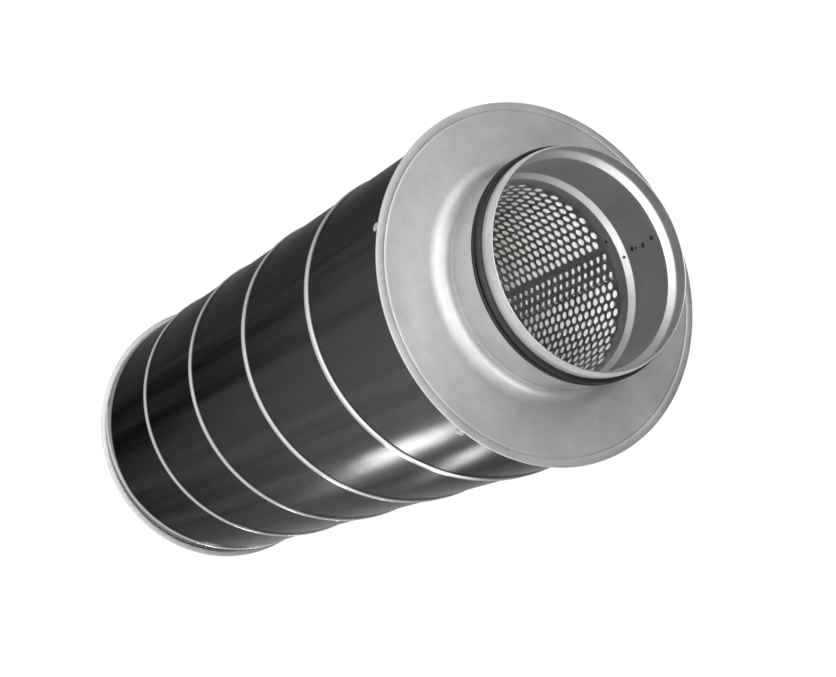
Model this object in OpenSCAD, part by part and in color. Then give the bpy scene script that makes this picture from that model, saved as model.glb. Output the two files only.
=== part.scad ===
// Round duct sound attenuator: a spiral-seam casing with two drawn end caps, two sealed
// spigots and a perforated tube wrapped in fleece and mineral wool. It stands on its lower
// spigot, axis along Z, with Z = 0 at the lower mouth.

/* [Body] */
// Distance between the outer faces of the two end caps
body_len = 600; // [300:10:1200]
// Inside diameter of the spiral casing
casing_d = 250; // [220:1:400]
// Thickness of the casing sheet
casing_wall = 0.7; // [0.5:0.1:1.5]
// How far the cap rims stand out past the casing wall
rim_reach = 5.3; // [4:0.1:12]

/* [Spiral seam] */
// Rise of the lock seam in one turn round the casing
seam_pitch = 120; // [80:1:160]
// Height of the seam's middle above the casing's lower end at angle zero
seam_start = 40; // [10:1:60]
// Width of the seam at its foot
seam_foot_w = 6.6; // [4:0.1:12]
// Width of the seam's flat top
seam_top_w = 4; // [2:0.1:8]
// Height of the seam above the casing
seam_h = 1.6; // [0.8:0.1:3]
// Length at the upper end over which the seam is rolled flat for the cap
seam_flat_len = 26; // [20:1:60]
// Length over which the seam sinks to that flat
seam_sink_len = 14; // [5:1:40]

/* [End caps] */
// Thickness of the cap sheet
cap_sheet = 0.8; // [0.5:0.1:1.5]
// Radius of the drawn curve between disc and neck
neck_fillet = 8; // [4:0.5:15]
// Height of the neck's edge above the disc
neck_len = 11; // [9:0.5:20]
// Depth of the upper cap's collar inside the casing
collar_len = 32; // [26:1:60]
// Height of the folded rim above the disc
rim_step = 0.4; // [0.1:0.1:0.7]

/* [Spigots] */
// Outside diameter of the spigots, for a 160 mm duct
spigot_d = 159; // [98:1:200]
// Length of a spigot beyond the disc
spigot_len = 58; // [50:1:90]
// Thickness of the spigot sheet
spigot_sheet = 0.8; // [0.5:0.1:1.5]
// Length of the tapered lead-in at the mouth
nose_len = 5; // [2:0.5:8]
// How much the lead-in drops towards the mouth, on the radius
nose_drop = 1.4; // [0.5:0.1:3]
// Distance from the mouth to the middle of the seal groove
groove_inset = 17; // [14:0.5:24]
// Width of the seal groove at the spigot's surface
groove_top_w = 12; // [9:0.5:14]
// Width of the seal groove at its bottom
groove_floor_w = 3; // [2:0.5:5]
// Depth of the seal groove
groove_depth = 4; // [2:0.5:5]
// Distance from the disc's outer face down to the swaged step
swage_gap = 0.5; // [0.5:0.5:6]
// Height of the swaged step
swage_len = 3.5; // [2:0.5:10]
// How much the swage drops to the tail, on the radius
swage_drop = 3.4; // [1.2:0.1:5]
// Length of the tail inside the perforated tube
tail_len = 10; // [6:1:30]
// Width of the spigot's welded lap
spigot_lap_w = 13; // [8:1:20]
// Distance of the lap's ends from the groove and the swaged step
lap_end = 1; // [0.5:0.5:5]
// Angle of the laps round the axis
lap_angle = 93; // [0:1:360]

/* [Seals] */
// How far the seal's lips stand out of the groove, as pressed flat by a duct
lip_reach = 0.35; // [0.1:0.05:0.4]
// Depth of the valley between the two lips
lip_valley = 1.8; // [0.5:0.1:2]
// Width of the sloping top of one lip
lip_top_w = 1.6; // [0.8:0.1:3]

/* [Perforated tube] */
// Gap between the swaged step and the tube's end
tube_gap = 0.8; // [0.5:0.1:3]
// Thickness of the tube sheet
tube_wall = 0.7; // [0.5:0.1:1.2]
// Diameter of a hole
hole_d = 5.5; // [3:0.1:7]
// Distance between neighbouring holes in the staggered pattern
hole_pitch = 8.1; // [7.5:0.1:12]
// Plain margin at each end of the tube
hole_margin = 10.5; // [10:0.5:30]
// Every how many holes one is cut, 1 for the whole pattern
hole_step = 5; // [1:1:12]
// Width of the tube's lap
tube_lap_w = 25; // [15:1:40]

/* [Filling] */
// Thickness of the fleece over the tube
fleece_t = 1.8; // [0.5:0.1:3]

/* [Rivets] */
// Number of rivets that hold the upper cap
rivet_count = 5; // [3:1:8]
// Angle of the first rivet
rivet_angle = 14.5; // [0:0.5:72]
// Distance of the rivets below the upper disc
rivet_inset = 15; // [12:0.5:20]
// Diameter of a rivet's shank
rivet_d = 3.2; // [2.4:0.1:4.8]
// Diameter of a rivet's head
rivet_head_d = 6.5; // [5:0.1:9]
// Height of a rivet's head
rivet_head_h = 1.5; // [1:0.1:2.5]
// Diameter of the swelled end inside the collar
rivet_tail_d = 4.6; // [4:0.1:7]
// Length of the swelled end inside the collar
rivet_tail_h = 2; // [1:0.1:4]

/* [Fits] */
// Radial gap between sheets that slide into one another
slip = 0.05; // [0.02:0.01:0.2]

/* [Hidden] */
casing_r = casing_d/2;
casing_out = casing_r + casing_wall;
rim_r = casing_out + rim_reach;
spigot_r = spigot_d/2;
neck_in = spigot_r + slip;
neck_out = neck_in + cap_sheet;
disc_start = neck_out + neck_fillet;
collar_out = casing_r - slip;
collar_in = collar_out - cap_sheet;
tail_r = spigot_r - swage_drop;
tube_in = tail_r + 2*slip;
tube_out = tube_in + tube_wall;
fleece_in = tube_out + tube_wall + slip;
fleece_out = fleece_in + fleece_t;
wool_in = max(fleece_out, spigot_r) + slip;

// Heights along the axis
disc_low = spigot_len;
disc_high = spigot_len + body_len;
casing_low = disc_low + cap_sheet;
casing_high = disc_high + rim_step - 2*cap_sheet;
groove_z = spigot_len - groove_inset;
tail_top = swage_gap + swage_len;
tube_end = tail_top + tube_gap;
tube_len = body_len - 2*tube_end;

// The casing is drawn with flat facets, one of them centred on each rivet
facets = 16*rivet_count;
facet_a = 360/facets;
facet_out = casing_out/cos(facet_a/2);
facet_in = casing_r/cos(facet_a/2);
turned_edge_r = rim_r - cap_sheet - 2*slip;
seam_rows = [-seam_foot_w/2, -seam_top_w/2, seam_top_w/2, seam_foot_w/2];
seam_turns = ceil(body_len/seam_pitch) + 4;
row_count = 4*seam_turns;

// The hole pattern fills the tube outside its lap
column_gap = hole_pitch*sin(60);
column_a = column_gap/tube_in*180/PI;
tube_lap_a = tube_lap_w/tube_in*180/PI;
columns = floor((360 - tube_lap_a)/column_a);
rows = floor((tube_len - 2*hole_margin - hole_d)/hole_pitch + 0.5);
spigot_lap_a = spigot_lap_w/spigot_r*180/PI;
rivet_hole_d = rivet_d + 4*slip;

steel = [0.75, 0.76, 0.77];
dark_steel = [0.28, 0.29, 0.29];
rubber = [0.07, 0.07, 0.07];
fleece_white = [0.93, 0.93, 0.9];
wool_yellow = [0.83, 0.76, 0.5];

$fa = 3;
$fs = 0.4;

// Angle of the facet edge with number k
function edge_angle(k) = rivet_angle + (k - 0.5)*facet_a;

// Height of the seam's middle at facet edge k, in the turn that starts two turns low
function seam_mid(k, turn) = casing_low + seam_start + seam_pitch*(edge_angle(k)/360 + turn - 2);

// Height of seam row n at facet edge k, kept between the casing's two ends
function row_z(k, n) = min(casing_high, max(casing_low + casing_wall,
    seam_mid(k, floor(n/4)) + seam_rows[n % 4]));

// How far a height lies from the nearest seam's middle at facet edge k
function seam_off(k, z) =
    let (turn = (z - seam_mid(k, 0))/seam_pitch)
    abs(turn - round(turn))*seam_pitch;

// Share of its height that the seam keeps at a height z, none where it is rolled flat
function seam_share(z) = min(1, max(0, (casing_high - seam_flat_len - z)/seam_sink_len));

// Height of the seam above the wall at facet edge k
function ridge(k, z) = seam_h*seam_share(z)*min(1, max(0,
    (seam_foot_w/2 - seam_off(k, z))/(seam_foot_w/2 - seam_top_w/2)));

// Point on facet edge k
function on_edge(k, r, z) = [r*cos(edge_angle(k)), r*sin(edge_angle(k)), z];

// Point of seam row n on facet edge k
function seam_point(k, n) =
    let (z = row_z(k, n))
    on_edge(k, facet_out + ridge(k, z), z);

// Copies its children to the upper end as they are, with Z = 0 at the disc's outer face
module at_upper_end() {
    translate([0, 0, disc_high]) children();
}

// Copies its children to the lower end, turned over
module at_lower_end() {
    translate([0, 0, disc_low]) mirror([0, 0, 1]) children();
}

// Copies its children to each rivet, with Z along the rivet and Z = 0 on the casing's outside
module at_rivets() {
    for (i = [0:rivet_count - 1])
        rotate([0, 0, rivet_angle + i*360/rivet_count])
            translate([casing_out, 0, disc_high - rivet_inset])
                rotate([0, 90, 0]) children();
}

// Spiral-wound tube: a plain inside wall, an outside wall with the helical lock seam, and
// a lower edge that is turned out for the lower cap's fold
module casing_tube() {
    seam_points = [for (n = [0:row_count - 1]) for (k = [0:facets - 1]) seam_point(k, n)];
    ring_sizes = [[turned_edge_r, casing_low + casing_wall], [turned_edge_r, casing_low],
        [facet_in, casing_low], [facet_in, casing_high]];
    ring_points = [for (q = ring_sizes) for (k = [0:facets - 1]) on_edge(k, q[0], q[1])];
    points = concat(seam_points, ring_points);
    first_ring = facets*row_count;
    // Across the last facet each row goes on as the row one turn up
    next_row = [for (n = [0:row_count - 1]) min(n + 4, row_count - 1)];
    seam_quads = [for (n = [0:row_count - 2]) for (k = [0:facets - 1])
        let (last = k == facets - 1)
        [n*facets + k, (last ? next_row[n]*facets : n*facets + k + 1),
            (last ? next_row[n + 1]*facets : (n + 1)*facets + k + 1), (n + 1)*facets + k]];
    // The walls below the first row: turned edge, end face, inside wall and upper end face
    ring_starts = [for (q = [0:3]) first_ring + q*facets];
    walls = [[ring_starts[0], 0], [ring_starts[1], ring_starts[0]],
        [ring_starts[2], ring_starts[1]], [ring_starts[3], ring_starts[2]],
        [(row_count - 1)*facets, ring_starts[3]]];
    ring_quads = [for (w = walls) for (k = [0:facets - 1])
        let (m = (k + 1) % facets) [w[0] + k, w[0] + m, w[1] + m, w[1] + k]];
    triangles = [for (q = concat(seam_quads, ring_quads))
        for (t = [[q[0], q[2], q[1]], [q[0], q[3], q[2]]])
            if (points[t[0]] != points[t[1]] && points[t[1]] != points[t[2]]
                && points[t[0]] != points[t[2]]) t];
    polyhedron(points, triangles);
}

module outer_casing() {
    color(dark_steel) difference() {
        casing_tube();
        at_rivets() translate([0, 0, -3*casing_wall]) cylinder(d = rivet_hole_d, h = 6*casing_wall);
    }
}

// Half section of a disc with its drawn neck, out to the radius where the rim begins
module disc_section(edge_r) {
    translate([disc_start, -cap_sheet]) square([edge_r - disc_start, cap_sheet]);
    translate([neck_in, neck_fillet]) square([cap_sheet, neck_len - neck_fillet]);
    intersection() {
        translate([disc_start, neck_fillet]) difference() {
            circle(neck_fillet + cap_sheet);
            circle(neck_fillet);
        }
        translate([neck_in, -cap_sheet]) square([disc_start - neck_in, neck_fillet + cap_sheet]);
    }
}

// Upper cap: the sheet runs out to the rim, folds back on itself and turns down as a collar
module upper_end_cap() {
    color(steel) difference() {
        at_upper_end() rotate_extrude() {
            disc_section(rim_r - 2*cap_sheet);
            translate([collar_in, rim_step - 2*cap_sheet])
                square([rim_r - cap_sheet - collar_in, 2*cap_sheet]);
            translate([rim_r - cap_sheet, rim_step - cap_sheet]) circle(cap_sheet);
            translate([collar_in, -collar_len]) square([cap_sheet, collar_len]);
        }
        at_rivets() translate([0, 0, -collar_len]) cylinder(d = rivet_hole_d, h = 2*collar_len);
    }
}

// Lower cap: the rim is folded over the casing's turned edge and holds it
module lower_end_cap() {
    fold_in = casing_out + seam_h + 2*slip;
    fold_slot = rim_r - cap_sheet;
    slot_h = casing_wall + slip;
    fold_h = slot_h + 2*cap_sheet;
    color(steel) at_lower_end() rotate_extrude() {
        disc_section(rim_r - 2*cap_sheet);
        difference() {
            union() {
                translate([fold_in, -cap_sheet - slot_h - cap_sheet])
                    square([rim_r - cap_sheet - fold_in, fold_h]);
                translate([rim_r - cap_sheet, -cap_sheet]) circle(cap_sheet);
                translate([rim_r - cap_sheet, -cap_sheet - slot_h]) circle(cap_sheet);
                translate([rim_r - cap_sheet, -cap_sheet - slot_h]) square([cap_sheet, slot_h]);
            }
            translate([0, -cap_sheet - slot_h]) square([fold_slot, slot_h]);
        }
    }
}

// Half section of a spigot's sheet, from the mouth over the seal groove to the tail
module spigot_section() {
    outline = [[spigot_r - nose_drop, spigot_len],
        [spigot_r, spigot_len - nose_len],
        [spigot_r, groove_z + groove_top_w/2],
        [spigot_r - groove_depth, groove_z + groove_floor_w/2],
        [spigot_r - groove_depth, groove_z - groove_floor_w/2],
        [spigot_r, groove_z - groove_top_w/2],
        [spigot_r, -swage_gap],
        [tail_r, -tail_top],
        [tail_r, -tail_top - tail_len]];
    last = len(outline) - 1;
    polygon(concat(outline, [for (i = [0:last]) outline[last - i] - [spigot_sheet, 0]]));
}

// Rolled spigot with its welded lap along the inside of the plain wall
module spigot() {
    lap_len = groove_z - groove_top_w/2 + swage_gap - 2*lap_end;
    rotate_extrude() spigot_section();
    rotate([0, 0, lap_angle - spigot_lap_a]) rotate_extrude(angle = spigot_lap_a)
        translate([spigot_r - 2*spigot_sheet, lap_end - swage_gap]) square([1.5*spigot_sheet, lap_len]);
}

module upper_spigot() {
    color(steel) at_upper_end() spigot();
}

module lower_spigot() {
    color(steel) at_lower_end() spigot();
}

// Rubber ring that fills the groove and ends in two lips
module seal() {
    floor_r = spigot_r - groove_depth + slip;
    half_top = groove_top_w/2 - 2*slip;
    half_floor = groove_floor_w/2 - slip;
    lip_r = spigot_r + lip_reach;
    // The tops slope down to half the reach at the groove's edges
    edge_r = spigot_r + lip_reach/2;
    translate([0, 0, groove_z]) rotate_extrude() polygon([
        [floor_r, -half_floor],
        [spigot_r, -half_top],
        [edge_r, -half_top],
        [lip_r, lip_top_w - half_top],
        [lip_r - lip_valley, 0],
        [lip_r, half_top - lip_top_w],
        [edge_r, half_top],
        [spigot_r, half_top],
        [floor_r, half_floor]]);
}

module upper_seal() {
    color(rubber) at_upper_end() seal();
}

module lower_seal() {
    color(rubber) at_lower_end() seal();
}

// Plain tube between two radii over a height
module sleeve(inner, outer, height) {
    rotate_extrude() translate([inner, 0]) square([outer - inner, height]);
}

// Staggered holes round the tube, with one hole in hole_step cut along and across
module tube_holes() {
    for (c = [0:hole_step:columns - 1])
        for (i = [(c/hole_step % 2)*floor(hole_step/2):hole_step:rows - 1])
            rotate([0, 0, lap_angle + (c + 0.5)*column_a])
                translate([tube_in - tube_wall, 0, hole_margin + hole_d/2 + (i + (c % 2)/2)*hole_pitch])
                    rotate([0, 90, 0]) cylinder(d = hole_d, h = 3*tube_wall);
}

module perforated_tube() {
    color(steel) translate([0, 0, disc_low + tube_end]) {
        difference() {
            sleeve(tube_in, tube_out, tube_len);
            tube_holes();
        }
        rotate([0, 0, lap_angle - tube_lap_a]) rotate_extrude(angle = tube_lap_a)
            translate([tube_out - tube_wall/2, 0]) square([1.5*tube_wall, tube_len]);
    }
}

module fleece_wrap() {
    color(fleece_white) translate([0, 0, disc_low + tube_end]) sleeve(fleece_in, fleece_out, tube_len);
}

// Wool mat that fills the casing, narrower beside the upper cap's collar and rivets
module mineral_wool() {
    wool_out = casing_r - slip;
    collar_room = collar_in - rivet_tail_h - 4*slip;
    collar_z = disc_high - collar_len - slip;
    color(wool_yellow) rotate_extrude() polygon([
        [wool_in, casing_low + slip],
        [wool_out, casing_low + slip],
        [wool_out, collar_z],
        [collar_room, collar_z],
        [collar_room, disc_high - cap_sheet - slip],
        [wool_in, disc_high - cap_sheet - slip]]);
}

// Blind rivet: domed head on the casing, shank through both sheets, swelled end inside
module rivet() {
    dome_r = (pow(rivet_head_d/2, 2) + pow(rivet_head_h, 2))/(2*rivet_head_h);
    // Depth from the casing's outside to the collar's inside at the swelled end's edge
    grip = casing_out - sqrt(pow(collar_in, 2) - pow(rivet_tail_d/2, 2)) + slip/2;
    difference() {
        intersection() {
            translate([0, 0, rivet_head_h - dome_r]) sphere(dome_r);
            cylinder(d = rivet_head_d, h = rivet_head_h);
        }
        translate([0, 0, rivet_head_h/2]) cylinder(d = rivet_d/2, h = rivet_head_h);
    }
    translate([0, 0, -grip - rivet_tail_h]) cylinder(d = rivet_d, h = grip + rivet_tail_h + rivet_head_h/4);
    translate([0, 0, -grip - rivet_tail_h]) cylinder(d = rivet_tail_d, h = rivet_tail_h);
}

module cap_rivets() {
    color(steel) at_rivets() rivet();
}

outer_casing();
upper_end_cap();
lower_end_cap();
upper_spigot();
lower_spigot();
upper_seal();
lower_seal();
perforated_tube();
fleece_wrap();
mineral_wool();
cap_rivets();
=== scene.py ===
import bpy
import bmesh
from math import radians, degrees, pi, sin, cos, tan, atan2, sqrt
from mathutils import Matrix, Vector


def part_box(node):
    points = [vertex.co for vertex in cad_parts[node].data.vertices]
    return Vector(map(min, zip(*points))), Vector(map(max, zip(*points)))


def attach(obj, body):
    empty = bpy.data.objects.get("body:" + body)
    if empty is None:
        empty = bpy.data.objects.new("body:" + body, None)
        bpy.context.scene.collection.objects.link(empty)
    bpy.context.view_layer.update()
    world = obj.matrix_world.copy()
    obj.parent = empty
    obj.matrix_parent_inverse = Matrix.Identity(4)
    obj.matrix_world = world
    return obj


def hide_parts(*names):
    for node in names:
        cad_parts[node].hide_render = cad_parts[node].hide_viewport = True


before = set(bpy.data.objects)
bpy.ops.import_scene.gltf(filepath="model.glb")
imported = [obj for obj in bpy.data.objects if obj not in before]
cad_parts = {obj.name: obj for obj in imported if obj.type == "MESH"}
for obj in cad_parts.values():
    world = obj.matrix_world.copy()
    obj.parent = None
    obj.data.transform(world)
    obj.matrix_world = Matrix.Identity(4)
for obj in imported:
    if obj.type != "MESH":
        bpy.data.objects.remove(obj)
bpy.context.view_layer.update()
print("frame:", len(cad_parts), "nodes")

mm = 0.001
neckLen = 11*mm  # the necks end this far beyond the discs' faces
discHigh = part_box("upper_end_cap")[1][2] - neckLen
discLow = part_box("lower_end_cap")[0][2] + neckLen
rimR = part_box("upper_end_cap")[1][0]/mm
spinSteps = 192
mergeGap = 0.002*mm  # points of a turned piece that are closer than this are one


# camera, at the place and turn that the photo was taken from
camera = {"place": (-0.0006, -0.6192, 1.4599), "right": (0.42439, 0.76597, 0.48287),
          "up": (-0.90546, 0.35901, 0.22632), "forward": (0.0, 0.53327, -0.84594),
          "lens": 62.59, "sensor": 36}
bpy.ops.object.select_all(action="DESELECT")
bpy.ops.object.camera_add(location=camera["place"])
photoCamera = bpy.context.object
photoCamera.name = "photoCamera"
turn = Matrix((camera["right"], camera["up"], [-part for part in camera["forward"]])).transposed()
photoCamera.rotation_euler = turn.to_euler()
photoCamera.data.lens = camera["lens"]
photoCamera.data.sensor_width = camera["sensor"]
photoCamera.data.sensor_fit = "HORIZONTAL"
bpy.context.scene.camera = photoCamera


# small helpers for shaping
def deselectAll():
    if bpy.context.object and bpy.context.object.mode != "OBJECT":
        bpy.ops.object.mode_set(mode="OBJECT")
    bpy.ops.object.select_all(action="DESELECT")


def pick(piece):
    deselectAll()
    piece.select_set(True)
    bpy.context.view_layer.objects.active = piece


def nameIt(piece, name):
    piece.name = name
    piece.data.name = name
    return piece


def roundCorners(corners, radius, parts):  # an open line with its corners eased by one radius or a list
    legShare = 0.48  # the most of a leg that an ease takes up
    radii = radius if isinstance(radius, (list, tuple)) else [radius]*(len(corners) - 2)
    eased = [tuple(corners[0])]
    for before, at, after, ease in zip(corners, corners[1:], corners[2:], radii):
        corner = Vector(at)
        back, on = Vector(before) - corner, Vector(after) - corner
        reach = min(ease/tan(back.angle(on)/2), legShare*back.length, legShare*on.length)
        start, end = corner + back.normalized()*reach, corner + on.normalized()*reach
        for i in range(parts + 1):
            t = i/parts
            eased.append(tuple((1 - t)**2*start + 2*t*(1 - t)*corner + t*t*end))
    eased.append(tuple(corners[-1]))
    return eased


def arc(middle, radius, first, last, parts):  # points on an arc, angles in degrees
    angles = [radians(first + (last - first)*i/parts) for i in range(parts + 1)]
    return [(middle[0] + radius*cos(a), middle[1] + radius*sin(a)) for a in angles]


def atUpperEnd(points):  # radius and height above the disc, in mm
    return [(r*mm, discHigh + h*mm) for r, h in points]


def atLowerEnd(points):  # the same, turned over
    return [(r*mm, discLow - h*mm) for r, h in points]


def drawLine(name, points, closed=True):  # one vertex, extruded from point to point
    deselectAll()
    bpy.ops.mesh.primitive_plane_add(size=mm)
    piece = nameIt(bpy.context.object, name)
    bpy.ops.object.mode_set(mode="EDIT")
    bpy.ops.mesh.select_all(action="SELECT")
    bpy.ops.mesh.merge(type="CENTER")
    bpy.ops.transform.translate(value=(points[0][0], 0, points[0][1]))
    for (r0, z0), (r1, z1) in zip(points, points[1:]):
        bpy.ops.mesh.extrude_region_move(TRANSFORM_OT_translate={"value": (r1 - r0, 0, z1 - z0)})
    if closed:
        bpy.ops.object.mode_set(mode="OBJECT")
        ends = (0, len(points) - 1)
        for vertex in piece.data.vertices:
            vertex.select = vertex.index in ends
        for edge in piece.data.edges:
            edge.select = False
        bpy.ops.object.mode_set(mode="EDIT")
        bpy.ops.mesh.edge_face_add()
    return piece


def spinLine(name, points, steps=spinSteps, angle=360):  # the closed line turned round the axis
    piece = drawLine(name, points)
    bpy.ops.mesh.select_all(action="SELECT")
    bpy.ops.mesh.spin(steps=steps, angle=radians(angle), center=(0, 0, 0), axis=(0, 0, 1))
    bpy.ops.mesh.select_all(action="SELECT")
    bpy.ops.mesh.remove_doubles(threshold=mergeGap)
    if angle < 360:
        bpy.ops.mesh.select_all(action="DESELECT")
        bpy.ops.mesh.select_non_manifold(extend=False)
        bpy.ops.mesh.fill_holes(sides=0)
        bpy.ops.mesh.select_all(action="SELECT")
    bpy.ops.mesh.normals_make_consistent(inside=False)
    bpy.ops.object.mode_set(mode="OBJECT")
    return piece


def moveIn(piece, place):  # the place goes into the mesh
    pick(piece)
    piece.matrix_world = place
    bpy.ops.object.transform_apply(location=True, rotation=True, scale=True)
    return piece


def copyOf(piece):  # with a mesh of its own
    pick(piece)
    bpy.ops.object.duplicate()
    return bpy.context.object


def joinInto(name, pieces):
    deselectAll()
    for piece in pieces:
        piece.select_set(True)
    bpy.context.view_layer.objects.active = pieces[0]
    if len(pieces) > 1:
        bpy.ops.object.join()
    return nameIt(bpy.context.object, name)


def discard(piece):
    pick(piece)
    bpy.ops.object.delete()


def applyAll(piece):
    pick(piece)
    for modifier in list(piece.modifiers):
        bpy.ops.object.modifier_apply(modifier=modifier.name)


def addModifier(piece, kind, **settings):
    modifier = piece.modifiers.new(kind.lower(), kind)
    for key, value in settings.items():
        setattr(modifier, key, value)
    return modifier


def finishPiece(piece, material, nodes=(), smooth=35):
    pick(piece)
    bpy.ops.object.shade_smooth_by_angle(angle=radians(smooth))
    piece.data.materials.clear()
    piece.data.materials.append(material)
    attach(piece, "root")
    if nodes:
        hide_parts(*nodes)


# materials
def linear(hexText):  # sRGB hex to linear colour
    parts = [int(hexText[i:i + 2], 16)/255 for i in (1, 3, 5)]
    return [p/12.92 if p <= 0.04045 else ((p + 0.055)/1.055)**2.4 for p in parts] + [1]


def addNode(owner, kind, inputs, stops=(), **settings):  # one node with its links, returned as its outputs
    made = owner.node_tree.nodes.new(kind)
    for key, value in settings.items():
        setattr(made, key, value)
    for key, value in inputs.items():
        if isinstance(value, bpy.types.NodeSocket):
            owner.node_tree.links.new(value, made.inputs[key])
        else:
            made.inputs[key].default_value = value
    if stops:  # a ramp's places with their hex colours
        elements = made.color_ramp.elements
        while len(elements) < len(stops):
            elements.new(0.5)
        for element, (place, colour) in zip(elements, stops):
            element.position = place
            element.color = linear(colour)
    return made.outputs


def newMaterial(name, **constants):  # constants go straight onto the shader's sockets
    material = bpy.data.materials.new(name)
    material.use_nodes = True
    shader = material.node_tree.nodes["Principled BSDF"]
    for key, value in constants.items():
        shader.inputs[key.replace("_", " ")].default_value = value
    where = addNode(material, "ShaderNodeTexCoord", {})["Object"]
    return material, shader, where


def plug(material, shader, **sockets):
    for key, value in sockets.items():
        material.node_tree.links.new(value, shader.inputs[key.replace("_", " ")])


# Rolled zinc-coated strip: dark and glossy, with painted reflection bands that make it lighter on two sides
# than on the others, a painted dark reflection patch low on the front, painted reflection streaks along the
# tube, and a painted highlight on the seam and at the lower edge; each axis is an angle round the tube, in
# degrees
zinc = {"paintedBandAxis": 240, "paintedBandDepth": 0.3, "streak": 16*mm, "streakLong": 0.03, "dent": 45*mm,
        "patchAxis": -112, "patchFull": 4, "patchEnd": 22, "patchDepth": 0.16,
        "patchLow": 150*mm, "patchHigh": 620*mm, "ridgeFrom": 125.9*mm, "ridgeFull": 127.0*mm,
        "footFull": 71*mm, "footEnd": 75*mm, "satinAxis": 212, "glossy": 0.2, "satin": 0.4}
spiralZinc, shader, where = newMaterial("rolled_zinc_strip", Metallic=1.0, Specular_Tint=linear("#8a8a8a"))
axes = addNode(spiralZinc, "ShaderNodeSeparateXYZ", {"Vector": where})
angle = addNode(spiralZinc, "ShaderNodeMath", {0: axes["Y"], 1: axes["X"]}, operation="ARCTAN2")[0]
# painted reflection bands: the colour is made darker round one axis and its opposite, and lighter between
# them
twice = addNode(spiralZinc, "ShaderNodeMath", {0: angle, 1: 2.0, 2: -2*radians(zinc["paintedBandAxis"])},
                operation="MULTIPLY_ADD")[0]
dark = addNode(spiralZinc, "ShaderNodeMath", {0: twice}, operation="COSINE")[0]
# painted reflection streaks: noise stretched along the tube shifts the colour, and the same noise also varies
# the roughness
streakRun = addNode(spiralZinc, "ShaderNodeMapping",
                    {"Vector": where, "Scale": (1, 1, zinc["streakLong"])})[0]
streak = addNode(spiralZinc, "ShaderNodeTexNoise",
                 {"Vector": streakRun, "Scale": 1/zinc["streak"], "Detail": 5.0, "Roughness": 0.6})["Fac"]
softer = addNode(spiralZinc, "ShaderNodeMath", {0: streak, 1: 0.5, 2: 0.25}, operation="MULTIPLY_ADD")[0]
paintedBandTone = addNode(spiralZinc, "ShaderNodeMath", {0: dark, 1: -zinc["paintedBandDepth"], 2: softer},
                operation="MULTIPLY_ADD")[0]
# a painted dark reflection patch on the front, deepest at the bottom and fading out by patchHigh
offPatch = addNode(spiralZinc, "ShaderNodeMath", {0: angle, 1: -radians(zinc["patchAxis"])},
                   operation="ADD")[0]
fromPatch = addNode(spiralZinc, "ShaderNodeMath", {0: offPatch}, operation="ABSOLUTE")[0]
patch = addNode(spiralZinc, "ShaderNodeMapRange",
                {"Value": fromPatch, "From Min": radians(zinc["patchFull"]),
                 "From Max": radians(zinc["patchEnd"]), "To Min": zinc["patchDepth"], "To Max": 0.0},
                interpolation_type="SMOOTHSTEP")[0]
lowDown = addNode(spiralZinc, "ShaderNodeMapRange",
                  {"Value": axes["Z"], "From Min": zinc["patchLow"], "From Max": zinc["patchHigh"],
                   "To Min": -1.0, "To Max": 0.0})[0]
paintedReflectionTone = addNode(spiralZinc, "ShaderNodeMath", {0: patch, 1: lowDown, 2: paintedBandTone}, operation="MULTIPLY_ADD")[0]
# the strip's dark grey, carrying the painted reflection bands, streaks and patch
wallColour = addNode(spiralZinc, "ShaderNodeValToRGB", {"Fac": paintedReflectionTone},
                     [(0.02, "#3b3b3b"), (0.2, "#4e4e4e"), (0.39, "#535353"),
                      (0.55, "#5e5e5e"), (0.74, "#6d6d6d"), (0.86, "#7c7c7c")])["Color"]
reach = addNode(spiralZinc, "ShaderNodeVectorMath", {0: where, 1: (1, 1, 0)}, operation="MULTIPLY")[0]
radius = addNode(spiralZinc, "ShaderNodeVectorMath", {0: reach}, operation="LENGTH")["Value"]
# a painted highlight: the seam's raised ridge and the lowest few millimetres of the wall are coloured pale,
# standing in for light caught there
onRidge = addNode(spiralZinc, "ShaderNodeMapRange",
                  {"Value": radius, "From Min": zinc["ridgeFrom"], "From Max": zinc["ridgeFull"]})[0]
atFoot = addNode(spiralZinc, "ShaderNodeMapRange",
                 {"Value": axes["Z"], "From Min": zinc["footFull"], "From Max": zinc["footEnd"],
                  "To Min": 1.0, "To Max": 0.0})[0]
paintedHighlight = addNode(spiralZinc, "ShaderNodeMath", {0: onRidge, 1: atFoot}, operation="MAXIMUM")[0]
# the pale colour of the painted highlight on the seam ridge and the lower edge
stripColour = addNode(spiralZinc, "ShaderNodeMix", {0: paintedHighlight, 6: wallColour, 7: linear("#c4c4c4")},
                      data_type="RGBA")[2]
sheenTwice = addNode(spiralZinc, "ShaderNodeMath", {0: angle, 1: 2.0, 2: -2*radians(zinc["satinAxis"])},
                     operation="MULTIPLY_ADD")[0]
satinSide = addNode(spiralZinc, "ShaderNodeMath", {0: sheenTwice}, operation="COSINE")[0]
sheen = addNode(spiralZinc, "ShaderNodeMath", {0: streak, 1: 0.8, 2: satinSide}, operation="MULTIPLY_ADD")[0]
gloss = addNode(spiralZinc, "ShaderNodeMapRange", {"Value": sheen, "From Min": -0.4, "From Max": 1.4,
                                                   "To Min": zinc["glossy"], "To Max": zinc["satin"]})[0]
dents = addNode(spiralZinc, "ShaderNodeTexNoise",
                {"Vector": where, "Scale": 1/zinc["dent"], "Detail": 2.0})["Fac"]
ripple = addNode(spiralZinc, "ShaderNodeBump", {"Height": dents, "Distance": 1*mm, "Strength": 0.2})[0]
plug(spiralZinc, shader, Base_Color=stripColour, Roughness=gloss, Normal=ripple)

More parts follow.
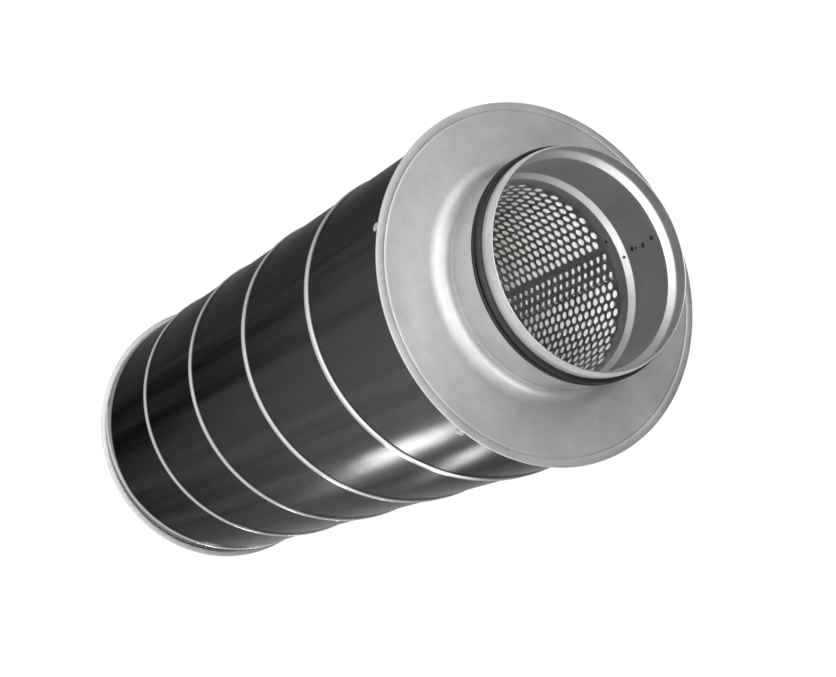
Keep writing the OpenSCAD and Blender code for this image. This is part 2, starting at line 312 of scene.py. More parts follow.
# Hot-dip galvanised sheet: pale satin grey, softly clouded, with faint zinc crystals
dip = {"crystal": 4*mm, "cloud": 28*mm, "grain": 1.5*mm}
galvanised, shader, where = newMaterial("hot_dip_galvanised_sheet", Metallic=1.0)
crystal = addNode(galvanised, "ShaderNodeTexVoronoi",
                  {"Vector": where, "Scale": 1/dip["crystal"], "Randomness": 1.0})["Color"]
crystalTone = addNode(galvanised, "ShaderNodeSeparateColor", {"Color": crystal})["Red"]
cloud = addNode(galvanised, "ShaderNodeTexNoise",
                {"Vector": where, "Scale": 1/dip["cloud"], "Detail": 5.0, "Roughness": 0.55})["Fac"]
tone = addNode(galvanised, "ShaderNodeMath", {0: crystalTone, 1: 0.12, 2: cloud}, operation="MULTIPLY_ADD")[0]
sheetColour = addNode(galvanised, "ShaderNodeValToRGB", {"Fac": tone},
                      [(0.3, "#b6b6b6"), (0.55, "#bfbfbf"), (0.8, "#c9c9c9")])["Color"]
satin = addNode(galvanised, "ShaderNodeMapRange", {"Value": cloud, "To Min": 0.42, "To Max": 0.52})[0]
grain = addNode(galvanised, "ShaderNodeTexNoise",
                {"Vector": where, "Scale": 1/dip["grain"], "Detail": 3.0})["Fac"]
skin = addNode(galvanised, "ShaderNodeBump", {"Height": grain, "Distance": 0.02*mm, "Strength": 0.3})[0]
plug(galvanised, shader, Base_Color=sheetColour, Roughness=satin, Normal=skin)

# Punched zinc-coated sheet: a dull grey zinc with drawing marks along the tube
punch = {"mark": 5*mm, "markLong": 0.1}
punched, shader, where = newMaterial("punched_zinc_sheet", Metallic=1.0)
drawn = addNode(punched, "ShaderNodeMapping", {"Vector": where, "Scale": (1, 1, punch["markLong"])})[0]
marks = addNode(punched, "ShaderNodeTexNoise",
                {"Vector": drawn, "Scale": 1/punch["mark"], "Detail": 4.0})["Fac"]
punchedColour = addNode(punched, "ShaderNodeValToRGB", {"Fac": marks},
                        [(0.3, "#b2b2b2"), (0.7, "#cacaca")])["Color"]
dull = addNode(punched, "ShaderNodeMapRange", {"Value": marks, "To Min": 0.3, "To Max": 0.45})[0]
plug(punched, shader, Base_Color=punchedColour, Roughness=dull)

# Moulded EPDM rubber: black and nearly matt, with a dusty bloom
mould = {"bloom": 9*mm, "pore": 1.2*mm}
rubber, shader, where = newMaterial("moulded_epdm_rubber", Roughness=0.42, IOR=1.52, Specular_IOR_Level=0.34)
bloom = addNode(rubber, "ShaderNodeTexNoise",
                {"Vector": where, "Scale": 1/mould["bloom"], "Detail": 6.0})["Fac"]
rubberColour = addNode(rubber, "ShaderNodeValToRGB", {"Fac": bloom},
                       [(0.35, "#0b0b0b"), (0.75, "#1a1a1a")])["Color"]
pores = addNode(rubber, "ShaderNodeTexNoise",
                {"Vector": where, "Scale": 1/mould["pore"], "Detail": 3.0})["Fac"]
skin = addNode(rubber, "ShaderNodeBump", {"Height": pores, "Distance": 0.05*mm, "Strength": 0.3})[0]
plug(rubber, shader, Base_Color=rubberColour, Normal=skin)

# Needled glass fleece: matt white with crossing fibres
needled = {"fibre": 6*mm, "fineFibre": 1.5*mm}
fleeceWhite, shader, where = newMaterial("needled_white_fleece", Roughness=0.95, Specular_IOR_Level=0.2)
fibreOne = addNode(fleeceWhite, "ShaderNodeTexWave",
                   {"Vector": where, "Scale": 1/needled["fibre"], "Distortion": 14.0,
                    "Detail": 4.0, "Detail Scale": 2.0})["Fac"]
fibreTwo = addNode(fleeceWhite, "ShaderNodeTexNoise",
                   {"Vector": where, "Scale": 1/needled["fineFibre"], "Detail": 5.0})["Fac"]
fibres = addNode(fleeceWhite, "ShaderNodeMath", {0: fibreOne, 1: 0.4, 2: fibreTwo},
                 operation="MULTIPLY_ADD")[0]
fleeceColour = addNode(fleeceWhite, "ShaderNodeValToRGB", {"Fac": fibres},
                       [(0.3, "#ebeae6"), (0.8, "#faf9f6")])["Color"]
nap = addNode(fleeceWhite, "ShaderNodeBump", {"Height": fibres, "Distance": 0.2*mm, "Strength": 0.5})[0]
plug(fleeceWhite, shader, Base_Color=fleeceColour, Normal=nap)

# Resin-bonded mineral wool: dull yellow, matted strands in layers
bonded = {"strand": 3*mm, "strandLong": 0.25}
woolYellow, shader, where = newMaterial("bonded_mineral_wool", Roughness=1.0)
layers = addNode(woolYellow, "ShaderNodeMapping", {"Vector": where, "Scale": (1, 1, bonded["strandLong"])})[0]
strands = addNode(woolYellow, "ShaderNodeTexNoise",
                  {"Vector": layers, "Scale": 1/bonded["strand"], "Detail": 8.0, "Distortion": 1.5})["Fac"]
woolColour = addNode(woolYellow, "ShaderNodeValToRGB", {"Fac": strands},
                     [(0.3, "#a38f4f"), (0.7, "#d8c88a")])["Color"]
tufts = addNode(woolYellow, "ShaderNodeBump", {"Height": strands, "Distance": 1*mm, "Strength": 0.7})[0]
plug(woolYellow, shader, Base_Color=woolColour, Normal=tufts)

# Drawn aluminium: the rivets' pale domes, with fine scuffs
scuffSize = 0.8*mm
rivetAluminium, shader, where = newMaterial("drawn_aluminium", Metallic=1.0)
scuffs = addNode(rivetAluminium, "ShaderNodeTexNoise",
                 {"Vector": where, "Scale": 1/scuffSize, "Detail": 3.0})["Fac"]
rivetColour = addNode(rivetAluminium, "ShaderNodeValToRGB", {"Fac": scuffs},
                      [(0.3, "#9a9a99"), (0.7, "#bebebc")])["Color"]
rivetGloss = addNode(rivetAluminium, "ShaderNodeMapRange", {"Value": scuffs, "To Min": 0.2, "To Max": 0.4})[0]
plug(rivetAluminium, shader, Base_Color=rivetColour, Roughness=rivetGloss)

# Burnt zinc at a spot weld: dark, matt and blotchy
sootSize = 1*mm
burntZinc, shader, where = newMaterial("burnt_zinc", Metallic=0.6, Roughness=0.6)
soot = addNode(burntZinc, "ShaderNodeTexNoise",
               {"Vector": where, "Scale": 1/sootSize, "Detail": 4.0})["Fac"]
burntColour = addNode(burntZinc, "ShaderNodeValToRGB", {"Fac": soot},
                      [(0.3, "#161514"), (0.75, "#4a4846")])["Color"]
plug(burntZinc, shader, Base_Color=burntColour)
print("materials: 8")


# spiral casing: one turn of the strip with its lock seam, screwed up the axis and cut square
casing = {"outR": 125.7, "wall": 0.7, "pitch": 120, "seamAtZero": 98.8, "turnsBelow": 1, "turns": 8,
          "seamFoot": 6.6, "seamTop": 4.0, "seamH": 1.6, "seamLead": 1, "ease": 0.5, "easeParts": 3,
          "foldAt": 1.1, "foldDeep": 0.35, "foldWide": 0.5, "flatParts": 6, "steps": 144, "mergeGap": 0.01,
          "low": 59.5, "high": 656.8, "flatLen": 26, "sinkLen": 14}
half, lead = casing["pitch"]/2, casing["seamLead"]
foot, top, ridgeH = casing["seamFoot"]/2, casing["seamTop"]/2, casing["seamH"]
foldLow, foldHigh = casing["foldAt"], casing["foldAt"] + casing["foldWide"]
ridge = roundCorners([(0, -foot - lead), (0, -foot), (ridgeH, -top), (ridgeH, foldLow),
                      (ridgeH - casing["foldDeep"], (foldLow + foldHigh)/2), (ridgeH - 0.05, foldHigh),
                      (ridgeH - 0.1, top), (0, foot), (0, foot + lead)], casing["ease"], casing["easeParts"])
flat = [i/casing["flatParts"] for i in range(casing["flatParts"])]
lowFlat = [(0, -half + t*(half - foot - lead)) for t in flat]
highFlat = [(0, half - t*(half - foot - lead)) for t in reversed(flat)]
strip = lowFlat + ridge + highFlat
startZ = casing["seamAtZero"] - casing["turnsBelow"]*casing["pitch"]
stripLine = [((casing["outR"] + out)*mm, (startZ + up)*mm) for out, up in strip]
spiralCasing = drawLine("spiralCasing", stripLine, closed=False)
bpy.ops.object.mode_set(mode="OBJECT")
addModifier(spiralCasing, "SCREW", axis="Z", angle=2*pi, screw_offset=casing["pitch"]*mm,
            iterations=casing["turns"], steps=casing["steps"], render_steps=casing["steps"])
applyAll(spiralCasing)
bpy.ops.object.mode_set(mode="EDIT")
bpy.ops.mesh.select_all(action="SELECT")
bpy.ops.mesh.remove_doubles(threshold=casing["mergeGap"]*mm)
for cutZ, above in ((casing["low"], False), (casing["high"], True)):
    bpy.ops.mesh.select_all(action="SELECT")
    bpy.ops.mesh.bisect(plane_co=(0, 0, cutZ*mm), plane_no=(0, 0, 1),
                        clear_outer=above, clear_inner=not above)
bpy.ops.mesh.select_all(action="SELECT")
bpy.ops.mesh.normals_make_consistent(inside=False)
bpy.ops.object.mode_set(mode="OBJECT")
flatZ = casing["high"] - casing["flatLen"]
for vertex in spiralCasing.data.vertices:  # the seam is rolled flat under the upper cap
    out = Vector((vertex.co.x, vertex.co.y)).length/mm
    keep = min(1, max(0, (flatZ - vertex.co.z/mm)/casing["sinkLen"]))
    if out > casing["outR"] and keep < 1:
        flatter = (casing["outR"] + (out - casing["outR"])*keep)/out
        vertex.co.x *= flatter
        vertex.co.y *= flatter
addModifier(spiralCasing, "SOLIDIFY", thickness=casing["wall"]*mm, offset=-1)
applyAll(spiralCasing)
finishPiece(spiralCasing, spiralZinc, ["outer_casing"], smooth=40)

# the casing's lower edge, turned out inside the lower cap's fold
flange = {"inR": 125.05, "outR": 130.05, "low": 58.8, "wall": 0.7}
flangeHigh = flange["low"] + flange["wall"]
flangeLine = [(flange["inR"], flange["low"]), (flange["outR"], flange["low"]),
              (flange["outR"], flangeHigh), (flange["inR"], flangeHigh)]
casingFlange = spinLine("casingFlange", [(r*mm, z*mm) for r, z in flangeLine])
finishPiece(casingFlange, galvanised)
print("casing:", len(spiralCasing.data.polygons), "faces")


# end caps: drawn disc and neck; the upper rim folds back into a collar, the lower over the flange
cap = {"sheet": 0.8, "neckIn": 79.55, "neckTaper": 1.6, "curveH": 8.0, "curveRun": 12.0, "curveParts": 14,
       "discMid": 105, "rimStep": 0.2, "hemR": 125.0, "collarOut": 124.95, "collarLen": 32,
       "foldIn": 127.4, "foldLip": 0.9, "slot": 0.75}
neckOut = cap["neckIn"] + cap["sheet"]
neckTop = neckLen/mm
sheet = cap["sheet"]
bend = rimR - sheet
neckLine = [(cap["neckIn"], neckTop), (cap["neckIn"] + 0.25, neckTop),
            (neckOut - 0.1, neckTop - cap["neckTaper"])]
neckBack = []
for i in range(cap["curveParts"] + 1):  # the drawn curve from neck to disc, wider than it is high
    turned = radians(90*i/cap["curveParts"])
    neckLine.append((neckOut + cap["curveRun"]*(1 - cos(turned)), cap["curveH"]*(1 - sin(turned))))
    neckBack.insert(0, (cap["neckIn"] + (cap["curveRun"] + sheet)*(1 - cos(turned)),
                        (cap["curveH"] + sheet)*(1 - sin(turned)) - sheet))
step, hemR, discMid = cap["rimStep"], cap["hemR"], cap["discMid"]
collarOut, collarEnd = cap["collarOut"], -cap["collarLen"]
hemLine = [(discMid, 0), (hemR - 2, 0), (hemR - 0.3, 0.06), (hemR, -0.04), (hemR + 0.3, 0.06),
           (hemR + 1.6, step - 0.06), (hemR + 2.8, step),
           (bend - 1.5, step - 0.01), (bend - 0.2, step - 0.05)]
collarLine = [(collarOut, step - 2*sheet), (collarOut, collarEnd),
              (collarOut - sheet, collarEnd), (collarOut - sheet, -sheet), (discMid, -sheet)]
upperRim = hemLine + arc((bend, step - sheet), sheet, 60, -90, 7) + collarLine
slotLow = -sheet - cap["slot"]
foldTop = slotLow - sheet
foldIn, foldEnd = cap["foldIn"], cap["foldIn"] - cap["foldLip"]
rolledFold = [(rimR, -sheet - 0.2), (rimR - 0.15, slotLow - 0.05), (rimR - 0.7, foldTop + 0.5),
              (rimR - 2.4, foldTop + 0.2), (foldIn + 0.2, foldTop + 0.02), (foldIn - 0.6, foldTop - 0.12),
              (foldEnd, foldTop), (foldEnd, slotLow), (bend, slotLow), (bend, -sheet), (discMid, -sheet)]
lowerRim = [(discMid, 0), (bend - 1.5, 0)] + arc((bend, -sheet), sheet, 90, 0, 4) + rolledFold
upperCap = spinLine("upperCap", atUpperEnd(neckLine + upperRim + neckBack))
finishPiece(upperCap, galvanised, ["upper_end_cap"])
lowerCap = spinLine("lowerCap", atLowerEnd(neckLine + lowerRim + neckBack))
finishPiece(lowerCap, galvanised, ["lower_end_cap"])
print("caps:", len(upperCap.data.polygons) + len(lowerCap.data.polygons), "faces")


# spigots: rolled sheet with a lead-in, a seal groove, a swaged step and a tail, and a welded lap
spigot = {"r": 79.5, "len": 58, "sheet": 0.8, "noseLen": 5, "noseDrop": 1.4, "noseEnd": 0.3, "lipDrop": 0.4,
          "grooveMid": 41, "grooveTop": 12, "grooveFloor": 3, "grooveDepth": 4,
          "swageTop": 0.4, "swageLen": 4.5, "swageDrop": 3.4, "tailLen": 9.9,
          "eases": (4, 3.5, 0.5, 0.5, 2.5, 1.2, 0.4), "easeParts": 5, "lapFrom": 83.6, "lapTo": 93.0,
          "lapLow": 0.5, "lapHigh": 35.0, "lapSlope": 0.9, "lapSink": 0.05, "lapSteps": 12}
r, deep, sheet = spigot["r"], spigot["r"] - spigot["grooveDepth"], spigot["sheet"]
mouthR, grooveMid = r - spigot["noseDrop"], spigot["grooveMid"]
grooveHigh, grooveLow = grooveMid + spigot["grooveTop"]/2, grooveMid - spigot["grooveTop"]/2
floorHigh, floorLow = grooveMid + spigot["grooveFloor"]/2, grooveMid - spigot["grooveFloor"]/2
tailR, tailTop = r - spigot["swageDrop"], spigot["swageTop"] - spigot["swageLen"]
wallCorners = [(mouthR, spigot["len"] - spigot["noseEnd"]), (r, spigot["len"] - spigot["noseLen"]),
               (r, grooveHigh), (deep, floorHigh), (deep, floorLow), (r, grooveLow), (r, spigot["swageTop"]),
               (tailR, tailTop), (tailR, tailTop - spigot["tailLen"])]
wallOut = roundCorners(wallCorners, spigot["eases"], spigot["easeParts"])
wallIn = [(x - sheet, h) for x, h in reversed(wallOut)]
lip = arc((mouthR - sheet/2, spigot["len"] - spigot["lipDrop"]), sheet/2, 165, 15, 4)
spigotLine = wallOut + wallIn + lip
lapIn = r - 2*sheet
lapOut = lapIn + sheet + spigot["lapSink"]
lapLine = [(lapIn, spigot["lapLow"] + spigot["lapSlope"]), (lapOut, spigot["lapLow"]),
           (lapOut, spigot["lapHigh"]), (lapIn, spigot["lapHigh"] + spigot["lapSlope"])]

# spot welds: each place is an angle, a radius, a height, a tilt and a size, and the line is a shallow
# crater with a raised ring, in the weld's own size
slope = atan2(spigot["swageDrop"], spigot["swageLen"])
swageR, swageMid = (r + tailR)/2 - sheet, (tailTop + spigot["swageTop"])/2
weld = {"places": ((85.4, lapIn, 8.3, 0, 1.9), (84.9, lapIn, 12.6, 0, 1.0), (84.6, lapIn, 20.5, 0, 2.0),
                   (86.4, lapIn, 31.5, 0, 1.8), (83.0, swageR, swageMid, slope, 1.3),
                   (94.6, tailR - sheet, -11.2, 0, 1.5)),
        "line": ((0, 0.04), (0.45, 0.04), (0.65, 0.1), (0.85, 0.07), (1, -0.06), (0, -0.06)), "steps": 20}
weldShape = spinLine("weld", [(x*mm, z*mm) for x, z in weld["line"]], weld["steps"])

for end, place in (("upper", atUpperEnd), ("lower", atLowerEnd)):
    rolled = spinLine(end + "Spigot", place(spigotLine))
    lap = spinLine("lap", place(lapLine), spigot["lapSteps"], spigot["lapTo"] - spigot["lapFrom"])
    moveIn(lap, Matrix.Rotation(radians(spigot["lapFrom"]), 4, "Z"))
    rolled = joinInto(end + "Spigot", [rolled, lap])
    finishPiece(rolled, galvanised, [end + "_spigot"])
    welds = []
    for around, inR, height, tilt, size in weld["places"]:
        (across, up), = place([(inR, height)])
        facing = Matrix.Rotation(radians(around), 4, "Z") @ Matrix.Translation((across, 0, up))
        lean = tilt if end == "upper" else -tilt
        sized = Matrix.Rotation(lean - pi/2, 4, "Y") @ Matrix.Scale(size, 4)
        welds.append(moveIn(copyOf(weldShape), facing @ sized))
    finishPiece(joinInto(end + "SpotWelds", welds), burntZinc)
discard(weldShape)
print("spigots: done")


# seals: a ring that fills the groove, with two lips that lean towards the cap
seal = {"floorR": 75.6, "floorHalf": 1.4, "tipR": 82.6, "ease": 0.5, "easeParts": 3}
tipR, floorR, floorHalf = seal["tipR"], seal["floorR"], seal["floorHalf"]
lowLip = [(79.0, -5.7), (79.55, -5.7), (79.9, -3.8), (81.8, -2.6),  # heights from the groove's middle
          (tipR, -1.6), (82.4, -0.6), (81.4, 0.2)]
valley = [(79.2, 0.6), (78.8, 1.3), (79.6, 2.0)]
highLip = [(81.9, 2.7), (tipR - 0.1, 3.6), (82.2, 4.6), (81.2, 5.4), (79.8, 6.1), (79.0, 5.9)]
sealCorners = [(floorR, -floorHalf)] + lowLip + valley + highLip + [(floorR, floorHalf)]
sealLine = roundCorners([(out, grooveMid + up) for out, up in sealCorners], seal["ease"], seal["easeParts"])
for end, place in (("upper", atUpperEnd), ("lower", atLowerEnd)):
    ring = spinLine(end + "Seal", place(sealLine))
    finishPiece(ring, rubber, [end + "_seal"], smooth=50)
print("seals: done")


# perforated liner: one hole's cell, repeated into a flat sheet, rolled up and given its thickness
liner = {"inR": 76.2, "wall": 0.5, "low": 62.8, "high": 653.2, "holeR": 2.9, "holeSides": 12,
         "rowGap": 8.1, "firstRow": 633.5, "rows": 70, "upperRows": 35,
         "columns": 68, "firstAngle": 95.4, "midAngle": 270, "lastAngle": 446.95,
         "edgeSpare": 0.5, "slit": 0.6, "mergeGap": 0.02, "near": 0.1, "same": 0.01}
rowGap, near, same = liner["rowGap"], liner["near"], liner["same"]
columnGap = liner["inR"]*radians(liner["lastAngle"] - liner["firstAngle"])/(liner["columns"] - 1)
cellR = columnGap/1.5  # half the cell's width
holeEdge = 2*liner["holeR"]*sin(pi/liner["holeSides"])


def growEdge(piece, test, stretch, centre):  # the sheet's edge where the test passes is drawn out to a line
    pick(piece)
    bpy.ops.object.mode_set(mode="EDIT")
    bpy.ops.mesh.select_mode(type="EDGE")
    bpy.ops.mesh.select_all(action="DESELECT")
    mesh = bmesh.from_edit_mesh(piece.data)
    for edge in mesh.edges:
        atHole = abs(edge.calc_length()/mm - holeEdge) < near/2
        if edge.is_boundary and not atHole and test(*[corner.co/mm for corner in edge.verts]):
            edge.select_set(True)
    bmesh.update_edit_mesh(piece.data)
    bpy.ops.mesh.extrude_region_move(TRANSFORM_OT_translate={"value": (0, 0, 0)})
    bpy.ops.transform.resize(value=stretch, center_override=[part*mm for part in centre])
    bpy.ops.mesh.select_mode(type="VERT")
    bpy.ops.object.mode_set(mode="OBJECT")


def punchedSheet(name, columns, firstX, firstRow, rows, leftX, rightX):
    deselectAll()
    bpy.ops.mesh.primitive_circle_add(vertices=liner["holeSides"], radius=liner["holeR"]*mm,
                                      rotation=(pi/2, 0, 0))
    piece = nameIt(bpy.context.object, name)
    bpy.ops.object.transform_apply(location=False, rotation=True, scale=False)
    bpy.ops.object.mode_set(mode="EDIT")
    bpy.ops.mesh.select_all(action="DESELECT")
    bpy.ops.mesh.primitive_circle_add(vertices=6, radius=rowGap/sqrt(3)*mm, rotation=(pi/2, pi/6, 0))
    squeeze = cellR/(rowGap/sqrt(3))
    bpy.ops.transform.resize(value=(squeeze, 1, 1), center_override=(0, 0, 0))
    bpy.ops.mesh.select_all(action="SELECT")
    bpy.ops.mesh.bridge_edge_loops()
    bpy.ops.mesh.select_all(action="SELECT")
    bpy.ops.transform.translate(value=(firstX*mm, 0, firstRow*mm))
    bpy.ops.object.mode_set(mode="OBJECT")
    byStep = {"use_relative_offset": False, "use_constant_offset": True}
    addModifier(piece, "ARRAY", count=rows, constant_offset_displace=(0, 0, -rowGap*mm), **byStep)
    applyAll(piece)
    beside = copyOf(piece)  # the next column sits half a row higher
    moveIn(beside, Matrix.Translation((columnGap*mm, 0, rowGap/2*mm)))
    piece = joinInto(name, [piece, beside])
    addModifier(piece, "ARRAY", count=columns//2, constant_offset_displace=(2*columnGap*mm, 0, 0), **byStep)
    applyAll(piece)
    bpy.ops.object.mode_set(mode="EDIT")
    bpy.ops.mesh.select_all(action="SELECT")
    bpy.ops.mesh.remove_doubles(threshold=liner["mergeGap"]*mm)
    bpy.ops.object.mode_set(mode="OBJECT")
    leftTip = firstX - cellR/2 + near
    rightTip = firstX + (columns - 1)*columnGap + cellR/2 - near
    growEdge(piece, lambda one, two: max(one.x, two.x) < leftTip, (0, 1, 1), (leftX, 0, 0))
    growEdge(piece, lambda one, two: min(one.x, two.x) > rightTip, (0, 1, 1), (rightX, 0, 0))
    return piece


def growEnd(piece, leftX, rightX, rowEnd, isUpper):  # the plain margin at the tube's end
    def atEnd(one, two):
        onSide = abs(one.x - two.x) < same and min(abs(one.x - leftX), abs(one.x - rightX)) < same
        beyond = min(one.z, two.z) > rowEnd - near if isUpper else max(one.z, two.z) < rowEnd + near
        return beyond and not onSide
    growEdge(piece, atEnd, (1, 1, 0), (0, 0, liner["high"] if isUpper else liner["low"]))


def rollUp(piece, radius, width):  # bent round the axis, then thickened outwards
    addModifier(piece, "SIMPLE_DEFORM", deform_method="BEND", deform_axis="Z", angle=width/radius)
    applyAll(piece)
    moveIn(piece, Matrix.Translation((0, -radius*mm, 0)))
    bpy.ops.object.mode_set(mode="EDIT")
    bpy.ops.mesh.select_all(action="SELECT")
    bpy.ops.mesh.normals_make_consistent(inside=False)
    bpy.ops.object.mode_set(mode="OBJECT")
    face = piece.data.polygons[0]
    outward = face.normal.x*face.center.x + face.normal.y*face.center.y > 0
    addModifier(piece, "SOLIDIFY", thickness=liner["wall"]*mm, offset=1 if outward else -1)
    applyAll(piece)


def sheetX(angle, radius):  # where an angle round the axis lies on the flat sheet
    return radius*radians(angle - liner["midAngle"])


upperRows = liner["upperRows"]
firstX = sheetX(liner["firstAngle"], liner["inR"])
leftX = firstX - cellR - liner["edgeSpare"]
rightX = leftX + 2*pi*liner["inR"] - liner["slit"]
midRow = liner["firstRow"] - upperRows*rowGap
for name, firstRow, rows, isUpper in (("linerUpper", liner["firstRow"], upperRows, True),
                                      ("linerLower", midRow, liner["rows"] - upperRows, False)):
    tube = punchedSheet(name, liner["columns"], firstX, firstRow, rows, leftX, rightX)
    growEnd(tube, leftX, rightX, firstRow + rowGap/2 if isUpper else firstRow - (rows - 1)*rowGap, isUpper)
    rollUp(tube, liner["inR"], rightX - leftX)
    finishPiece(tube, punched, ["perforated_tube"], smooth=30)
    print(name, len(tube.data.polygons), "faces")

# the lap: the sheet's other edge behind the first one, its holes out of step with those in front
lapSheet = {"columns": 4, "lastAngle": 448.2, "cutAngle": 435.1, "rightAngle": 453.0,
            "rowShift": -1.8, "gap": 0.02}
lapR = liner["inR"] + liner["wall"] + lapSheet["gap"]
lapCutX = sheetX(lapSheet["cutAngle"], lapR)
lapFirstX = sheetX(lapSheet["lastAngle"], lapR) - (lapSheet["columns"] - 1)*columnGap
lapLeftX, lapRightX = lapFirstX - cellR - liner["edgeSpare"], sheetX(lapSheet["rightAngle"], lapR)
lapRow = liner["firstRow"] + lapSheet["rowShift"]
linerLap = punchedSheet("linerLap", lapSheet["columns"], lapFirstX, lapRow, liner["rows"],
                        lapLeftX, lapRightX)
growEnd(linerLap, lapLeftX, lapRightX, lapRow + rowGap/2, True)
growEnd(linerLap, lapLeftX, lapRightX, lapRow - (liner["rows"] - 1)*rowGap, False)
bpy.ops.object.mode_set(mode="EDIT")
bpy.ops.mesh.select_all(action="SELECT")
bpy.ops.mesh.bisect(plane_co=(lapCutX*mm, 0, 0), plane_no=(1, 0, 0), clear_inner=True)
bpy.ops.object.mode_set(mode="OBJECT")
rollUp(linerLap, lapR, lapRightX - lapCutX)
finishPiece(linerLap, punched, ["perforated_tube"], smooth=30)
print("linerLap", len(linerLap.data.polygons), "faces")


# rivets: a domed blind rivet head with its mandrel's stub, modelled once and copied
rivet = {"count": 5, "angle": 14.5, "below": 15, "headR": 3.25, "headH": 1.5, "onR": 125.68, "steps": 32,
         "domeAngles": (17, 24, 31, 38, 45), "sink": 0.2}
domeR = (rivet["headR"]**2 + rivet["headH"]**2)/(2*rivet["headH"])
dome = [(domeR*sin(radians(a)), rivet["headH"] - domeR*(1 - cos(radians(a)))) for a in rivet["domeAngles"]]
stub = [(0, 0.95), (0.7, 0.95), (0.85, 0.75), (1.0, 0.75), (1.1, 1.3)]
rivetLine = stub + dome + [(rivet["headR"], 0.0), (0, -rivet["sink"])]
rivetShape = spinLine("head", [(x*mm, z*mm) for x, z in rivetLine], rivet["steps"])
heads = []
for i in range(rivet["count"]):
    outTurn = Matrix.Rotation(radians(rivet["angle"] + i*360/rivet["count"]), 4, "Z")
    lift = Matrix.Translation((rivet["onR"]*mm, 0, discHigh - rivet["below"]*mm))
    heads.append(moveIn(copyOf(rivetShape), outTurn @ lift @ Matrix.Rotation(pi/2, 4, "Y")))
discard(rivetShape)
finishPiece(joinInto("capRivets", heads), rivetAluminium, ["cap_rivets"])
print("rivets:", rivet["count"])


# fleece: stretched over the liner and lifted over its lap
fleece = {"r": 77.0, "lapR": 77.75, "lapFrom": 67, "lapTo": 97, "lapRamp": 2, "thick": 1.5,
          "low": liner["low"], "high": liner["high"], "sides": 240}
deselectAll()
fleeceLen = (fleece["high"] - fleece["low"])*mm
bpy.ops.mesh.primitive_cylinder_add(vertices=fleece["sides"], radius=fleece["r"]*mm, depth=fleeceLen,
                                    end_fill_type="NOTHING", location=(0, 0, fleece["low"]*mm + fleeceLen/2))
fleeceWrap = nameIt(bpy.context.object, "fleeceWrap")
bpy.ops.object.transform_apply(location=True, rotation=True, scale=True)
for vertex in fleeceWrap.data.vertices:
    around = degrees(atan2(vertex.co.y, vertex.co.x)) % 360
    over = min(1, max(0, min(around - fleece["lapFrom"], fleece["lapTo"] - around)/fleece["lapRamp"]))
    lifted = 1 + over*(fleece["lapR"]/fleece["r"] - 1)
    vertex.co.x *= lifted
    vertex.co.y *= lifted
addModifier(fleeceWrap, "SOLIDIFY", thickness=fleece["thick"]*mm, offset=1)
applyAll(fleeceWrap)
finishPiece(fleeceWrap, fleeceWhite, ["fleece_wrap"])

# the wool keeps its solid, which no view shows
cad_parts["mineral_wool"].data.materials.clear()
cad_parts["mineral_wool"].data.materials.append(woolYellow)
print("fleece and wool: done")


# floor: matt, and glowing white to the camera and in mirror images
ground = {"size": 40, "glow": 0.8, "grey": 0.3}
deselectAll()
bpy.ops.mesh.primitive_plane_add(size=ground["size"])
floor = nameIt(bpy.context.object, "floor")
paleFloor = bpy.data.materials.new("matt_white_floor")
paleFloor.use_nodes = True
paleFloor.node_tree.nodes.clear()
ray = addNode(paleFloor, "ShaderNodeLightPath", {})
cameraOrGlossy = addNode(paleFloor, "ShaderNodeMath", {0: ray["Is Camera Ray"], 1: ray["Is Glossy Ray"]},
                         operation="MAXIMUM")[0]
seen = addNode(paleFloor, "ShaderNodeMath", {0: cameraOrGlossy, 1: ray["Is Transmission Ray"]},
               operation="MAXIMUM")[0]
glow = addNode(paleFloor, "ShaderNodeMath", {0: seen, 1: ground["glow"]}, operation="MULTIPLY")[0]
white = addNode(paleFloor, "ShaderNodeEmission", {"Color": linear("#ffffff"), "Strength": glow})[0]
matt = addNode(paleFloor, "ShaderNodeBsdfDiffuse", {"Color": [ground["grey"]]*3 + [1]})[0]
both = addNode(paleFloor, "ShaderNodeAddShader", {0: white, 1: matt})[0]
addNode(paleFloor, "ShaderNodeOutputMaterial", {"Surface": both})
floor.data.materials.append(paleFloor)


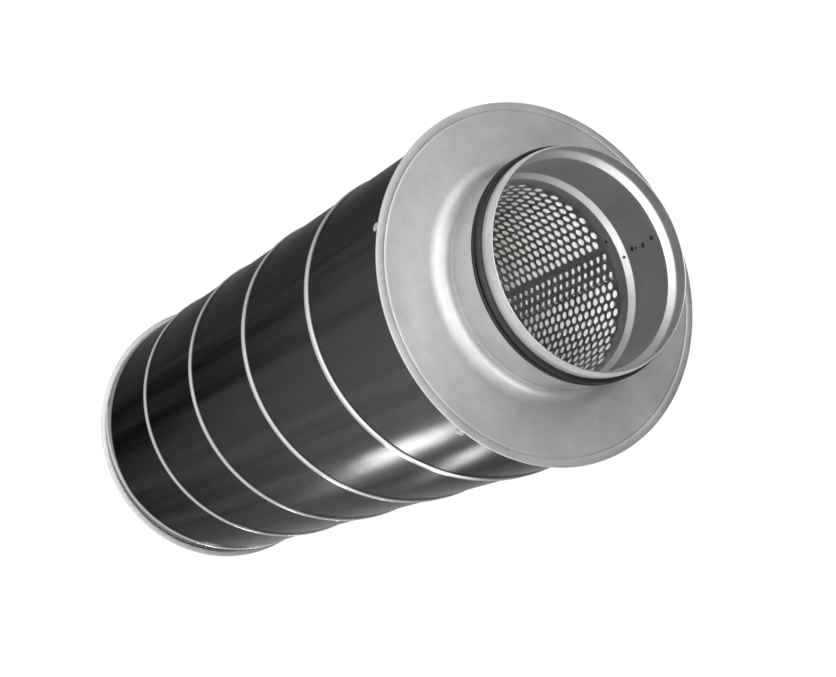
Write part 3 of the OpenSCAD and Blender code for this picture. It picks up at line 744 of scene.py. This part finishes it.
# lamps
def addLamp(name, place, aim, power, kind, **settings):
    deselectAll()
    bpy.ops.object.light_add(type=kind, location=place)
    lamp = bpy.context.object
    lamp.name = name
    lamp.data.energy = power
    for key, value in settings.items():
        setattr(lamp.data, key, value)
    lamp.rotation_euler = (Vector(aim) - Vector(place)).to_track_quat("-Z", "Y").to_euler()
    lamp.visible_camera = False


def addPanel(name, place, aim, power, wide, high):  # a flat oblong lamp
    addLamp(name, place, aim, power, "AREA", shape="RECTANGLE", size=wide, size_y=high)


addPanel("keyLamp", (-0.2, -1.2, 2.6), (0, 0, 0.5), 32, 3.4, 3.4)
addPanel("topLamp", (-0.6, 0.1, 2.3), (0, 0, 0.6), 15.5, 1.6, 1.6)
addPanel("wallLampLeft", (-1.4, -0.7, 1.35), (0, 0.05, 0.66), 2.2, 0.9, 0.6)
addPanel("wallLampRight", (1.4, -0.7, 1.35), (0, 0.05, 0.66), 5, 0.9, 0.6)
addLamp("mouthLamp", (0, -0.75, 1.75), (0, 0.02, 0.716), 64, "SPOT",
        spot_size=radians(7), spot_blend=0.25, shadow_soft_size=0.03)  # into the mouth only
addPanel("frontLamp", (0, -1.5, 1.42), (0, 0, 0.65), 6.5, 3.6, 0.4)
addPanel("lowLamp", (0.365, -0.216, 0.035), (0.071, -0.104, 0.535), 0.5, 0.07, 0.1)
addPanel("lowLampNear", (0.448, -0.05, 0.05), (0.089, -0.089, 0.62), 0.25, 0.07, 0.04)

# world: a room that is pale in front and duller behind
room = {"front": 0.96, "back": 0.2, "frontY": -0.8, "backY": 0.4}
world = bpy.data.worlds.new("paleRoom")
bpy.context.scene.world = world
world.use_nodes = True
outward = addNode(world, "ShaderNodeTexCoord", {})["Generated"]
depth = addNode(world, "ShaderNodeSeparateXYZ", {"Vector": outward})["Y"]
roomLight = addNode(world, "ShaderNodeMapRange",
                    {"Value": depth, "From Min": room["frontY"], "From Max": room["backY"],
                     "To Min": room["front"], "To Max": room["back"]})[0]
background = world.node_tree.nodes["Background"]
background.inputs["Color"].default_value = linear("#ffffff")
world.node_tree.links.new(roomLight, background.inputs["Strength"])
bpy.context.scene.view_settings.view_transform = "Standard"
print("floor, lamps and world: done")
